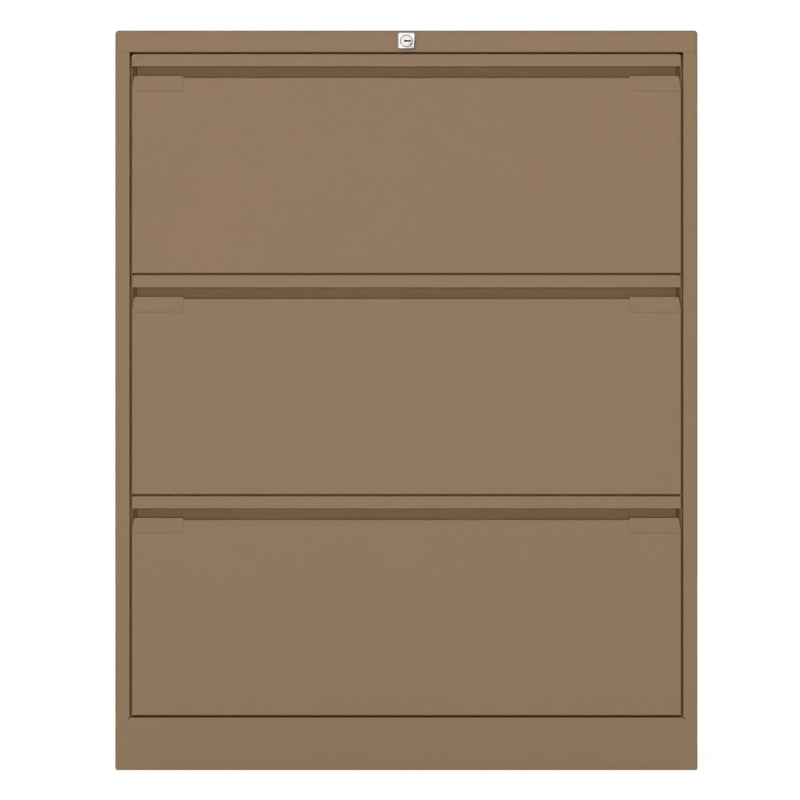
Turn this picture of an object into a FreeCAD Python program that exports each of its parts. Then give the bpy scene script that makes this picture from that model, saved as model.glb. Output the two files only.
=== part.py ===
import FreeCAD, Part
import math
import os

# Side filing cabinet with three drawers, folded from sheet steel.
# Millimetres. +X is the viewer's right, the front faces -Y, +Z is up.
# The origin lies under the middle of the cabinet, on the floor.

# Driving dimensions: cabinet body
width = 800.0
height = 1016.0
depth = 470.0
shell_gauge = 1.0
edge_bend = 3.5
top_bend = 5.0
fold_bend = 1.0
seam_bevel = 0.6
stile_face = 20.0
stile_return = 18.0
fascia_height = 30.0
plinth_height = 72.5
relief_length = 4.0
relief_width = 1.0
back_flange = 12.0
base_floor_gap = 10.0
upright_gauge = 1.2
upright_width = 40.0
upright_proud = 3.5
rear_upright_inset = 27.0
cross_rail_rise = 9.0
cross_rail_drop = 12.0
cross_rail_foot = 18.0

# Driving dimensions: drawers
drawer_names = ("bottom", "middle", "top")
drawer_gauge = 0.8
front_gap = 3.0
front_depth = 20.0
front_bend = 1.2
front_corner = 1.0
close_play = 1.0
lip_height = 16.5
pull_opening = 15.5
pull_depth = 28.0
pull_slope = 7.0
hem_depth = 4.0
hem_height = 6.5
cap_width = 71.0
cap_rise = 2.3
cap_height = 20.8
cap_slant = 3.0
cap_corner = 3.4
cap_chamfer = 1.5
cap_wall = 2.0
cap_end_wall = 1.5
cap_flange = 2.0
cap_seam = 0.2
drawer_length = 415.0
drawer_floor = 14.0
rim_drop = 14.0
rim_width = 13.0
bead_count = 4
bead_width = 12.0
bead_height = 2.5
bead_margin = 50.0
rail_spacing = 390.0
rail_inset = 34.0
rail_height = 16.0
rail_foot = 12.0
rail_gauge = 1.5

# Driving dimensions: runners
runner_length = 400.0
runner_start = 22.0
runner_level = 100.0
runner_gauge = 1.2
runner_half = 11.05
cage_gauge = 0.6
cage_length = 140.0
slide_play = 0.4
web_play = 1.1
ball_diameter = 4.0
ball_play = 0.35
ball_side = 3.0
cage_hole_play = 0.2
race_floor = 0.85
middle_race_floor = 0.7
balls_per_row = 2
ball_pitch = 110.0

# Driving dimensions: lock
lock_proud = 5.0
lock_width = 24.0
lock_height = 23.0
lock_corner = 3.0
lock_bevel = 1.4
barrel_diameter = 19.0
barrel_length = 22.0
plug_diameter = 15.6
plug_recess = 0.4
plug_play = 0.1
key_slot_length = 8.7
key_slot_offset = 1.65
key_slot_height = 1.8
key_ward_height = 2.7
key_slot_depth = 13.0
tail_side = 7.0
tail_play = 0.15
cam_gauge = 2.5
cam_radius = 8.0
cam_pin_diameter = 4.0
cam_pin_play = 0.6
screw_head_height = 2.5
bar_gauge = 2.0
bar_width = 12.0
bar_play = 0.4
bar_spacing = 2.0
bar_pin_diameter = 5.0
bar_arm = 14.0
slot_rim = 2.2
finger_drop = 37.0
finger_height = 14.0
finger_reach = 16.5
catch_gauge = 1.5
catch_height = 25.0
catch_foot = 20.0
catch_drop = 3.0
catch_play = 2.0
guide_wall = 2.6
guide_length = 16.0
guide_places = (0.3, 0.7)

# Driving dimensions: levelling feet
foot_lift = 1.0
foot_pad_flats = 28.0
foot_pad_height = 8.0
foot_pad_bevel = 2.0
foot_stud_radius = 4.0
foot_stud_top = 48.0
foot_play = 0.3
foot_side_inset = 28.0
foot_end_inset = 37.0
bracket_gauge = 2.0
bracket_level = 14.0
bracket_top = 60.0
bracket_length = 40.0
bracket_reach = 48.0
foot_nut_flats = 14.0
foot_nut_height = 6.0

# Places worked out from the driving dimensions
Vec = FreeCAD.Vector
front_y = -(depth - lock_proud) / 2
back_y = front_y + depth
half_width = width / 2
opening_half = half_width - stile_face
upright_face = opening_half - upright_proud
opening_top = height - fascia_height
opening_height = opening_top - plinth_height
pitch = (opening_height - front_gap) / len(drawer_names)
front_height = pitch - front_gap
front_half = opening_half - front_gap
drawer_bases = [plinth_height + front_gap + index * pitch for index in range(len(drawer_names))]
lip_bottom = front_height - lip_height
panel_top = lip_bottom - pull_opening
cap_top = panel_top + cap_rise
cap_bottom = cap_top - cap_height
notch_bottom = cap_bottom - cap_seam
drawer_side_top = panel_top - rim_drop
finger_level = drawer_side_top - finger_drop
cap_inner = front_half - cap_width
cap_outer = front_half - cap_slant
pull_half = cap_outer - cap_end_wall - cap_seam
box_front = front_y + front_depth
box_back = box_front + drawer_length
bend_room = shell_gauge + edge_bend
foot_x = opening_half - foot_side_inset

# Runner section, measured from the upright inwards (across) and from its middle outwards (up)
race_gap = ball_diameter / 2
race_radius = ball_diameter / 2 + ball_play
race_depth = race_radius - race_gap / 2
outer_cage_web = runner_gauge + slide_play
middle_web = outer_cage_web + cage_gauge + slide_play
inner_cage_web = middle_web + runner_gauge + slide_play
inner_start = inner_cage_web + cage_gauge + slide_play
ball_across = inner_start + ball_diameter / 2 + cage_hole_play
race_end = ball_across + ball_side
runner_thickness = race_end + web_play + runner_gauge
inner_race_top = runner_half + race_floor + race_depth
inner_row = inner_race_top + race_gap / 2
middle_race_low = inner_race_top + race_gap
middle_race_top = middle_race_low + middle_race_floor + 2 * race_depth
outer_row = middle_race_top + race_gap / 2
outer_race_low = middle_race_top + race_gap
runner_top = outer_race_low + race_depth + race_floor
side_outer = upright_face - runner_thickness
side_inner = side_outer - drawer_gauge
runner_front = front_y + runner_start
runner_back = runner_front + runner_length
cage_front = runner_front + (runner_length - cage_length) / 2

# Lock train, from the fascia backwards
lock_z = height - fascia_height / 2
barrel_end = front_y + barrel_length
cam_front = barrel_end + bar_spacing
cam_back = cam_front + cam_gauge
link_front = cam_back + screw_head_height + bar_spacing
link_back = link_front + bar_gauge
bar_front = link_back + bar_spacing
bar_back = bar_front + bar_gauge
cam_offset = cam_radius * math.sin(math.radians(45))
lock_travel = 2 * cam_offset
link_bottom = lock_z - cam_radius - cam_pin_diameter / 2 - 2 * cam_pin_play
link_top = lock_z - cam_offset + cam_pin_diameter
link_end_top = height - shell_gauge - 2 * bar_play
bar_pin_z = link_end_top - bar_pin_diameter
bar_inner = half_width - stile_return + slot_rim
bar_outer = bar_inner + bar_width
bar_pin_x = bar_inner - bar_arm


def block(x, y, z):
    """Box between the two values given for each axis."""
    corner = Vec(min(x), min(y), min(z))
    return Part.makeBox(max(x) - min(x), max(y) - min(y), max(z) - min(z), corner)


def rod(radius, start, direction, length):
    """Round bar from a point along a direction."""
    return Part.makeCylinder(radius, length, start, direction)


def regular_face(sides, flats, plane):
    """Regular polygon about the origin, given across its flats."""
    turns = [2 * math.pi * (index + 0.5) / sides for index in range(sides)]
    corner = flats / 2 / math.cos(math.pi / sides)
    corners = [(corner * math.cos(turn), corner * math.sin(turn), 0) for turn in turns]
    return outline_face(corners, plane)


def prism(sides, flats, plane, length):
    """Regular bar about the origin, drawn out square to its plane."""
    return regular_face(sides, flats, plane).extrude((Vec(1, 1, 1) - plane(1, 1)) * length)


def mirrored(shape):
    """The same piece on the other side of the cabinet."""
    return shape.mirror(Vec(0, 0, 0), Vec(1, 0, 0))


def pair(shape):
    """A right-hand piece together with its left-hand twin."""
    return Part.makeCompound(shape.Solids + mirrored(shape).Solids)


def joined(first, *others):
    """One solid made of touching shapes, without seams on flat faces."""
    return first.fuse(list(others)).removeSplitter()


def yz(a, b):
    """Section plane of a piece that runs across the cabinet."""
    return Vec(0, a, b)


def xz(a, b):
    """Section plane of a piece that runs from front to back."""
    return Vec(a, 0, b)


def xy(a, b):
    """Section plane of an upright piece."""
    return Vec(a, b, 0)


def outline_face(corners, plane):
    """Flat face through corners (a, b, radius), each corner rounded by its radius."""
    points = [Vec(a, b, 0) for a, b, radius in corners]
    stops = []
    for index, (a, b, radius) in enumerate(corners):
        here = points[index]
        back = (points[index - 1] - here).normalize()
        ahead = (points[(index + 1) % len(points)] - here).normalize()
        half_angle = back.getAngle(ahead) / 2
        reach = radius / math.tan(half_angle)
        entry = here + back * reach
        leave = here + ahead * reach
        inside = here
        if radius > 0:
            bisector = (back + ahead).normalize()
            inside = here + bisector * (radius / math.sin(half_angle) - radius)
        stops.append((entry, inside, leave, radius))
    edges = []
    for index, (entry, inside, leave, radius) in enumerate(stops):
        start = stops[index - 1][2]
        edges.append(Part.LineSegment(plane(start.x, start.y), plane(entry.x, entry.y)).toShape())
        if radius > 0:
            arc = Part.Arc(plane(entry.x, entry.y), plane(inside.x, inside.y), plane(leave.x, leave.y))
            edges.append(arc.toShape())
    return Part.Face(Part.Wire(edges))


def folded(line, gauge, radii, plane, start, end):
    """Sheet folded along a line of points, lying to the right of it, drawn out from start to end.

    Each fold is sharp inside and has the outside radius given for it.
    """
    near = [(line[0][0], line[0][1], 0)]
    far = []
    for index in range(len(line) - 1):
        step = Vec(line[index + 1][0] - line[index][0], line[index + 1][1] - line[index][1], 0).normalize()
        right = Vec(step.y, -step.x, 0)
        if index == 0:
            far.append((line[0][0] + right.x * gauge, line[0][1] + right.y * gauge, 0))
        else:
            turn = last_step.x * step.y - last_step.y * step.x
            shift = (last_right + right) * (gauge / (1 + last_right.dot(right)))
            radius = radii[index - 1]
            near.append((line[index][0], line[index][1], 0 if turn > 0 else radius))
            far.append((line[index][0] + shift.x, line[index][1] + shift.y, radius if turn > 0 else 0))
        last_step = step
        last_right = right
    near.append((line[-1][0], line[-1][1], 0))
    far.append((line[-1][0] + last_right.x * gauge, line[-1][1] + last_right.y * gauge, 0))
    normal = Vec(1, 1, 1) - plane(1, 1)
    face = outline_face(near + far[::-1], plane)
    face.translate(normal * start)
    return face.extrude(normal * (end - start))


def lies_on(edge, span, face):
    """Whether an edge of a block lies in the face named by its axis and end."""
    axis, end = face
    box = edge.BoundBox
    low = (box.XMin, box.YMin, box.ZMin)[axis]
    high = (box.XMax, box.YMax, box.ZMax)[axis]
    place = span[axis][end]
    tolerance = 0.001
    return abs(low - place) < tolerance and abs(high - place) < tolerance


def fold_edges(shape, span, webs, openings):
    """Edges of a block along which its web faces are folded, apart from those at an opening."""
    edges = []
    for edge in shape.Edges:
        folded_here = any(lies_on(edge, span, face) for face in webs)
        free_here = any(lies_on(edge, span, face) for face in openings)
        if folded_here and not free_here:
            edges.append(edge)
    return edges


def rounded_block(span, radius, webs, openings):
    """Outside of a tray: a block rounded along its folds."""
    shape = block(*span)
    if radius > 0:
        shape = shape.makeFillet(radius, fold_edges(shape, span, webs, openings))
    return shape


def tray_hollow(span, gauge, bend, webs, openings):
    """Inside of a tray: a block bevelled along its folds, where the bend is wide against the gauge."""
    shape = block(*span)
    if bend > 2 * gauge:
        bevel = (bend - gauge) * (2 - math.sqrt(2))
        shape = shape.makeChamfer(bevel, fold_edges(shape, span, webs, openings))
    return shape


def pan(span, gauge, bend, webs, openings, square=()):
    """Sheet tray: a block rounded along its folds and hollowed to its gauge, open at the named faces.

    The folds at the faces named as square stay sharp.
    """
    inside = []
    for axis in range(3):
        low, high = span[axis]
        low = low - gauge if (axis, 0) in openings else low + gauge
        high = high + gauge if (axis, 1) in openings else high - gauge
        inside.append((low, high))
    sharp = [*openings, *square]
    outer = rounded_block(span, bend, webs, sharp)
    return outer.cut(tray_hollow(inside, gauge, bend, webs, sharp))


def side_panel():
    """Right side: a tray whose front flange is the stile, returned around the drawer opening."""
    span = ((opening_half, half_width), (front_y, back_y), (0, opening_top))
    shell = pan(span, shell_gauge, edge_bend, [(0, 1)], [(0, 0)], [(1, 1), (2, 1)])
    returned = block(
        (opening_half, opening_half + shell_gauge),
        (front_y, front_y + stile_return),
        (plinth_height, opening_top),
    )
    fold = block(
        (opening_half, opening_half + fold_bend),
        (front_y, front_y + fold_bend),
        (plinth_height, opening_top),
    )
    fold_centre = Vec(opening_half + fold_bend, front_y + fold_bend, plinth_height)
    fold = fold.cut(rod(fold_bend, fold_centre, Vec(0, 0, 1), opening_height))
    shell = joined(shell, returned).cut(fold)
    relief = block(
        (-relief_width, relief_length),
        (front_y - shell_gauge, front_y + 2 * shell_gauge),
        (-relief_width / 2, relief_width / 2),
    )
    relief.rotate(Vec(0, 0, 0), Vec(0, 1, 0), 45)
    relief.translate(Vec(opening_half, 0, plinth_height))
    return shell.cut(relief)


def lock_bar_slot(bottom, top):
    """Room for the lock bar where it passes through a flange."""
    return block(
        (bar_inner - bar_play, bar_outer + bar_play),
        (bar_front - bar_play, bar_back + bar_play),
        (bottom, top),
    )


def top_panel():
    """Inverted tray: top sheet, fascia, sides and rear rim, returned inwards all round."""
    span = ((-half_width, half_width), (front_y, back_y), (opening_top, height))
    walls = [(0, 0), (0, 1), (1, 0), (1, 1), (2, 1)]
    sharp = [(1, 1), (2, 0)]
    shell = rounded_block(span, top_bend, walls, sharp)
    lower_edges = [edge for edge in shell.Edges if lies_on(edge, span, (2, 0))]
    shell = shell.makeChamfer(seam_bevel, lower_edges)
    inside = [(low + shell_gauge, high - shell_gauge) for low, high in span]
    shell = shell.cut(tray_hollow(inside, shell_gauge, top_bend, walls, sharp))
    opening = block(
        (-half_width + stile_return, half_width - stile_return),
        (front_y + stile_return, back_y - stile_return),
        (opening_top - shell_gauge, opening_top + 2 * shell_gauge),
    )
    lock_hole = rod(
        barrel_diameter / 2 + tail_play,
        Vec(0, front_y - shell_gauge, lock_z),
        Vec(0, 1, 0),
        3 * shell_gauge,
    )
    slot = lock_bar_slot(opening_top - shell_gauge, opening_top + 2 * shell_gauge)
    return shell.cut([opening, lock_hole, slot])


def plinth_panel():
    """Channel across the foot of the front, flush with the stiles."""
    line = [
        (front_y + stile_return, 0),
        (front_y, 0),
        (front_y, plinth_height),
        (front_y + stile_return, plinth_height),
    ]
    radius = shell_gauge + fold_bend
    return folded(line, shell_gauge, [radius, radius], yz, -opening_half, opening_half)


def back_panel():
    """Tray that closes the back between the side panels' flanges."""
    span = ((-opening_half, opening_half), (back_y - back_flange, back_y), (0, opening_top))
    return pan(span, shell_gauge, 0, [(1, 1)], [(1, 0)])


def base_panel():
    """Inverted tray under the lowest drawer, between plinth and back."""
    half = opening_half - shell_gauge - fold_bend
    span = (
        (-half, half),
        (front_y + shell_gauge, back_y - shell_gauge),
        (base_floor_gap, plinth_height - shell_gauge),
    )
    return pan(span, shell_gauge, 0, [(2, 1)], [(2, 0)])


def upright(front):
    """Right-hand channel on the base panel that stiffens the side and carries the runners.

    It stands proud of the stile and so closes the gap beside the drawer fronts.
    """
    tip = half_width - shell_gauge
    line = [
        (tip, front),
        (upright_face, front),
        (upright_face, front + upright_width),
        (tip, front + upright_width),
    ]
    return folded(line, upright_gauge, [0, 0], xy, plinth_height - shell_gauge, opening_top - bend_room)


def cross_rails():
    """Angles between the front uprights, one behind each gap under or over a drawer front.

    The lowest stands on the base panel.
    """
    rails = []
    front = bar_back + bar_spacing
    floor = plinth_height - shell_gauge
    for index in range(len(drawer_names) + 1):
        gap_middle = plinth_height + index * pitch + front_gap / 2
        low = max(gap_middle - cross_rail_drop, floor)
        high = gap_middle + cross_rail_rise
        line = [(front + cross_rail_foot, low), (front, low), (front, high)]
        rails.append(folded(line, upright_gauge, [0], yz, -upright_face, upright_face))
    return Part.makeCompound(rails)


def finger_slots():
    """Slots in the right front upright for the fingers of the lock bar."""
    slots = []
    for base in drawer_bases:
        bottom = base + finger_level - lock_travel - bar_spacing
        top = base + finger_level + finger_height + bar_spacing
        slots.append(block(
            (upright_face - upright_gauge, upright_face + 2 * upright_gauge),
            (bar_front - 2 * bar_play, bar_back + 2 * bar_play),
            (bottom, top),
        ))
    return slots


def foot_bracket(foot_y):
    """Right-hand angle welded inside the base, with the nut of a levelling foot."""
    wall = opening_half - 2 * shell_gauge - fold_bend
    line = [(wall, bracket_top), (wall, bracket_level), (wall - bracket_reach, bracket_level)]
    half = bracket_length / 2
    angle = folded(line, bracket_gauge, [0], xz, foot_y - half, foot_y + half)
    nut = prism(6, foot_nut_flats, xy, foot_nut_height)
    nut.translate(Vec(foot_x, foot_y, bracket_level + bracket_gauge))
    hole_length = bracket_gauge + foot_nut_height
    hole = rod(foot_stud_radius + foot_play, Vec(foot_x, foot_y, bracket_level), Vec(0, 0, 1), hole_length)
    return joined(angle, nut).cut(hole)


def levelling_foot(x, y):
    """Hexagonal foot pad, turned by a spanner, with the stud that carries it."""
    pad = prism(6, foot_pad_flats, xy, foot_pad_height)
    sole = [edge for edge in pad.Edges if edge.BoundBox.ZMax < foot_pad_height / 2]
    pad = pad.makeChamfer(foot_pad_bevel, sole)
    pad.translate(Vec(0, 0, foot_lift))
    pad_top = foot_lift + foot_pad_height
    stud = rod(foot_stud_radius, Vec(0, 0, pad_top), Vec(0, 0, 1), foot_stud_top - pad_top)
    foot = pad.fuse(stud)
    foot.translate(Vec(x, y, 0))
    return foot


def channel_face(web, tip, gauge, low, high):
    """Section of a runner channel: a web, and two walls from it that lie low to high from the middle."""
    inside = web + gauge if tip > web else web - gauge
    corners = [
        (web, -high),
        (tip, -high),
        (tip, -low),
        (inside, -low),
        (inside, low),
        (tip, low),
        (tip, high),
        (web, high),
    ]
    return outline_face([(upright_face - across, runner_level + up, 0) for across, up in corners], xz)


def runner_member(section, rows, front):
    """Runner channel with a ball raceway along each row."""
    for row in rows:
        for up in (-row, row):
            race = prism(8, 2 * race_radius, xz, 2 * runner_length)
            race.translate(Vec(upright_face - ball_across, -runner_length, runner_level + up))
            section = section.cut(race).Faces[0]
    solid = section.extrude(Vec(0, runner_length, 0))
    solid.translate(Vec(0, front, 0))
    return solid


def cabinet_member():
    """Outer channel, fixed to the uprights."""
    section = channel_face(0, race_end, runner_gauge, outer_race_low, runner_top)
    return runner_member(section, [outer_row], runner_front)


def middle_member():
    """Intermediate channel, with raceways on both faces of its walls."""
    section = channel_face(middle_web, race_end, runner_gauge, middle_race_low, middle_race_top)
    return runner_member(section, [outer_row, inner_row], runner_front)


def drawer_member():
    """Inner channel, fixed to the drawer side."""
    section = channel_face(runner_thickness, inner_start, runner_gauge, runner_half, inner_race_top)
    return runner_member(section, [inner_row], runner_front)


def ball(place):
    """Ball of a runner, with few faces: flat faces between eight-sided rings at its poles and its middle."""
    sides = 8
    corner = ball_diameter / 2 / math.cos(math.pi / sides)
    pole = corner * math.tan(math.pi / sides)
    rings = []
    turns = [2 * math.pi * (index + 0.5) / sides for index in range(sides)]
    for level, radius in ((-ball_diameter / 2, pole), (0, corner), (ball_diameter / 2, pole)):
        ring = [Vec(radius * math.cos(turn), radius * math.sin(turn), level) for turn in turns]
        rings.append([place + corner_place for corner_place in ring])
    loops = [rings[0], rings[-1]]
    for low, high in zip(rings, rings[1:]):
        for index in range(sides):
            loops.append([low[index - 1], low[index], high[index], high[index - 1]])
    faces = [Part.Face(Part.makePolygon(loop + loop[:1])) for loop in loops]
    return Part.Solid(Part.Shell(faces))


def ball_cage(web, row):
    """Cage channel with a pocket for each ball, followed by its balls."""
    section = channel_face(web, race_end, cage_gauge, row - cage_gauge / 2, row + cage_gauge / 2)
    cage = section.extrude(Vec(0, cage_length, 0))
    cage.translate(Vec(0, cage_front, 0))
    balls = []
    for up in (-row, row):
        for index in range(balls_per_row):
            along = cage_front + cage_length / 2 + (index - (balls_per_row - 1) / 2) * ball_pitch
            place = Vec(upright_face - ball_across, along, runner_level + up)
            pocket = prism(8, ball_diameter + 2 * cage_hole_play, xy, 2 * cage_gauge)
            pocket.translate(place - Vec(0, 0, cage_gauge))
            cage = cage.cut(pocket)
            balls.append(ball(place))
    return Part.makeCompound([cage] + balls)


def corner_wedge(level, up):
    """Wedge that blunts a right-hand corner of the front, an upper (1) or a lower one (-1), at a level."""
    far = front_half + front_corner
    face = outline_face([
        (front_half - 2 * front_corner, level + up * front_corner, 0),
        (far, level - 2 * up * front_corner, 0),
        (far, level + up * front_corner, 0),
    ], xz)
    wedge = face.extrude(Vec(0, 2 * front_depth, 0))
    wedge.translate(Vec(0, front_y - front_depth / 2, 0))
    return wedge


def drawer_front():
    """Folded front: tray panel, full-width finger pull and hemmed lip, notched for the grip caps."""
    panel = pan(
        ((-front_half, front_half), (front_y, box_front), (0, notch_bottom)),
        drawer_gauge,
        front_bend,
        [(1, 0)],
        [(1, 1), (2, 1)],
    )
    line = [
        (front_y, notch_bottom),
        (front_y, panel_top),
        (front_y + pull_depth, panel_top - pull_slope),
        (front_y + pull_depth, front_height - drawer_gauge),
        (front_y + drawer_gauge, front_height - drawer_gauge),
        (front_y + drawer_gauge, lip_bottom + drawer_gauge),
        (front_y + hem_depth, lip_bottom + drawer_gauge),
        (front_y + hem_depth, lip_bottom + hem_height),
    ]
    radii = [front_bend, front_bend, front_bend, 0, 0, 0]
    pull = folded(line, drawer_gauge, radii, yz, -pull_half, pull_half)
    notch = block(
        (cap_inner - cap_seam, front_half),
        (front_y - drawer_gauge, front_y + cap_wall + 2 * cap_seam),
        (notch_bottom, lip_bottom - cap_seam),
    )
    pull = pull.cut([notch, mirrored(notch)])
    lip = pan(
        ((-front_half, front_half), (front_y, box_front), (lip_bottom, front_height)),
        drawer_gauge,
        front_bend,
        [(1, 0)],
        [(2, 0), (1, 1)],
    )
    wedges = []
    for level, up in ((0, -1), (lip_bottom, -1), (front_height, 1)):
        wedge = corner_wedge(level, up)
        wedges.append(wedge)
        wedges.append(mirrored(wedge))
    return joined(panel, pull, lip).cut(wedges)


def front_liner():
    """Flat sheet that closes the back of the front, below the finger pull."""
    half = front_half - drawer_gauge - cap_seam
    bottom = drawer_gauge + cap_seam
    top = panel_top - pull_slope * front_depth / pull_depth - 2 * drawer_gauge
    corners = [
        (-half, bottom, 0),
        (half, bottom, 0),
        (half, notch_bottom, 0),
        (pull_half, notch_bottom, 0),
        (pull_half, top, 0),
        (-pull_half, top, 0),
        (-pull_half, notch_bottom, 0),
        (-half, notch_bottom, 0),
    ]
    sheet = outline_face(corners, xz).extrude(Vec(0, drawer_gauge, 0))
    sheet.translate(Vec(0, box_front - drawer_gauge, 0))
    return sheet


def grip_cap():
    """Right-hand moulded cap: fills the notch in the panel and closes the end of the finger pull."""
    end_inner = cap_outer - cap_end_wall
    ceiling = panel_top - cap_seam
    cap_back = box_front - drawer_gauge
    end_front = cap_back - cap_end_wall
    pull_back = front_y + pull_depth - cap_seam
    face = outline_face([
        (cap_inner, cap_bottom, 0),
        (front_half, cap_bottom, 0),
        (cap_outer, cap_top, cap_corner),
        (cap_inner + cap_chamfer, cap_top, 0),
        (cap_inner, cap_top - cap_chamfer, 0),
    ], xz)
    shell = face.extrude(Vec(0, cap_back - front_y, 0))
    shell.translate(Vec(0, front_y, 0))
    hollow = outline_face([
        (cap_inner - cap_wall, cap_bottom + cap_wall, 0),
        (front_half - cap_wall, cap_bottom + cap_wall, 0),
        (end_inner, ceiling, 0),
        (cap_inner - cap_wall, ceiling, 0),
    ], xz).extrude(Vec(0, front_depth, 0))
    hollow.translate(Vec(0, front_y + cap_wall, 0))
    shell = shell.cut(hollow)
    floor_strip = block(
        (cap_inner + cap_chamfer, cap_outer),
        (end_front, pull_back),
        (ceiling, cap_top - cap_chamfer),
    )
    end_wall = block(
        (end_inner, cap_outer),
        (end_front, pull_back),
        (ceiling, front_height - drawer_gauge),
    )
    end_flange = block(
        (end_inner, cap_outer + cap_flange),
        (end_front, cap_back),
        (ceiling, lip_bottom - cap_seam),
    )
    return joined(shell, floor_strip, end_wall, end_flange)


def drawer_side():
    """Right-hand drawer side, with a rim at its top and a flange for the bottom."""
    rim = side_outer - rim_width
    line = [
        (rim, drawer_side_top),
        (side_outer, drawer_side_top),
        (side_outer, drawer_floor),
        (rim, drawer_floor),
    ]
    return folded(line, drawer_gauge, [0, 0], xz, box_front, box_back)


def drawer_back():
    """Back of the drawer box, its flanges cut short between those of the sides."""
    rim = box_back - rim_width
    line = [
        (rim, drawer_side_top),
        (box_back, drawer_side_top),
        (box_back, drawer_floor),
        (rim, drawer_floor),
    ]
    sheet = folded(line, drawer_gauge, [0, 0], yz, -side_inner, side_inner)
    flange_half = side_outer - rim_width - cap_seam
    spare = drawer_gauge + fold_bend
    corners = []
    for level in (drawer_floor, drawer_side_top):
        corner = block(
            (flange_half, front_half),
            (rim - spare, box_back + spare),
            (level - spare, level + spare),
        )
        corners.append(corner)
        corners.append(mirrored(corner))
    return sheet.cut(corners)


def bead(middle, level, half):
    """Stiffening bead with sloping flanks, standing on a level."""
    foot = bead_width / 2
    crown = foot - bead_height
    corners = [
        (middle - foot, level, 0),
        (middle + foot, level, 0),
        (middle + crown, level + bead_height, 0),
        (middle - crown, level + bead_height, 0),
    ]
    ridge = outline_face(corners, yz).extrude(Vec(2 * half, 0, 0))
    ridge.translate(Vec(-half, 0, 0))
    return ridge


def drawer_bottom():
    """Bottom sheet on the flanges of the sides and back, stiffened by pressed beads."""
    half = side_inner - fold_bend
    low = drawer_floor + drawer_gauge
    high = low + drawer_gauge
    rear = box_back - drawer_gauge - fold_bend
    sheet = block((-half, half), (box_front, rear), (low, high))
    bead_half = half - bead_margin
    ridges = []
    hollows = []
    for index in range(bead_count):
        bead_y = box_front + (rear - box_front) * (index + 0.5) / bead_count
        ridge = bead(bead_y, high, bead_half)
        hollow = bead(bead_y, low, bead_half - drawer_gauge)
        ridges.append(ridge)
        hollows.append(hollow)
    return joined(sheet, *ridges).cut(hollows)


def file_rails():
    """Front and rear angles across the rims, from which the files hang."""
    front = front_y + rail_inset
    rear = front + rail_spacing
    top = drawer_side_top + rail_height
    front_line = [(front + rail_foot, drawer_side_top), (front, drawer_side_top), (front, top)]
    rear_line = [(rear, top), (rear, drawer_side_top), (rear - rail_foot, drawer_side_top)]
    rails = []
    for line in (front_line, rear_line):
        rails.append(folded(line, rail_gauge, [0], yz, -side_inner, side_inner))
    return Part.makeCompound(rails)


def lock_catch():
    """Angle on the right drawer side that a finger of the lock bar drops in front of."""
    front = bar_back + catch_play
    top = finger_level - catch_drop
    line = [
        (upright_face - catch_play, front),
        (side_outer, front),
        (side_outer, front + catch_foot),
    ]
    return folded(line, catch_gauge, [0], xy, top - catch_height, top)


def lock_body():
    """Die-cast lock body: square bevelled head in front of the fascia, barrel behind it."""
    half_x = lock_width / 2
    half_z = lock_height / 2
    corners = [(-half_x, -half_z), (half_x, -half_z), (half_x, half_z), (-half_x, half_z)]
    face = outline_face([(a, lock_z + b, lock_corner) for a, b in corners], xz)
    head = face.extrude(Vec(0, lock_proud, 0))
    head.translate(Vec(0, front_y - lock_proud, 0))
    rim = [edge for edge in head.Edges if edge.BoundBox.YMax < front_y - lock_proud / 2]
    head = head.makeChamfer(lock_bevel, rim)
    barrel = rod(barrel_diameter / 2, Vec(0, front_y, lock_z), Vec(0, 1, 0), barrel_length)
    bore = rod(
        plug_diameter / 2 + plug_play,
        Vec(0, front_y - 2 * lock_proud, lock_z),
        Vec(0, 1, 0),
        2 * lock_proud + 2 * barrel_length,
    )
    return head.fuse(barrel).cut(bore)


def lock_plug():
    """Turning plug with its key slot and a square tail for the cam."""
    face_y = front_y - lock_proud + plug_recess
    plug = rod(plug_diameter / 2, Vec(0, face_y, 0), Vec(0, 1, 0), cam_front - face_y)
    tail = block((-tail_side / 2, tail_side / 2), (cam_front, cam_back), (-tail_side / 2, tail_side / 2))
    slot_left = key_slot_offset - key_slot_length / 2
    slot_right = key_slot_offset + key_slot_length / 2
    deep = (face_y - plug_recess, face_y + key_slot_depth)
    slot = block((slot_left, slot_right), deep, (-key_slot_height / 2, key_slot_height / 2))
    ward = block((slot_left, 0), deep, (-key_ward_height / 2, key_ward_height / 2))
    plug = plug.fuse(tail).cut([slot, ward])
    plug.translate(Vec(0, 0, lock_z))
    return plug


def at_cam_rest(shape):
    """A cam shape drawn along +X from the plug's axis, turned to its place when unlocked."""
    shape.rotate(Vec(0, 0, 0), Vec(0, 1, 0), 45)
    shape.translate(Vec(0, 0, lock_z))
    return shape


def lock_cam():
    """Cam plate on the plug's tail, tapered to the pin that drives the link bar."""
    half = tail_side / 2 + cam_gauge
    tip = cam_pin_diameter / 2 + cam_gauge
    corners = [
        (-half, -half),
        (half, -half),
        (cam_radius + tip, -tip),
        (cam_radius + tip, tip),
        (half, half),
        (-half, half),
    ]
    plate = outline_face([(a, b, 0) for a, b in corners], xz).extrude(Vec(0, cam_gauge, 0))
    plate.translate(Vec(0, cam_front, 0))
    pin_length = link_back + bar_spacing / 2 - cam_back
    pin = rod(cam_pin_diameter / 2, Vec(cam_radius, cam_back, 0), Vec(0, 1, 0), pin_length)
    cam = at_cam_rest(plate.fuse(pin))
    hole_half = tail_side / 2 + tail_play
    hole = block(
        (-hole_half, hole_half),
        (cam_front - cam_gauge, cam_back + cam_gauge),
        (lock_z - hole_half, lock_z + hole_half),
    )
    return cam.cut(hole)


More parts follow.
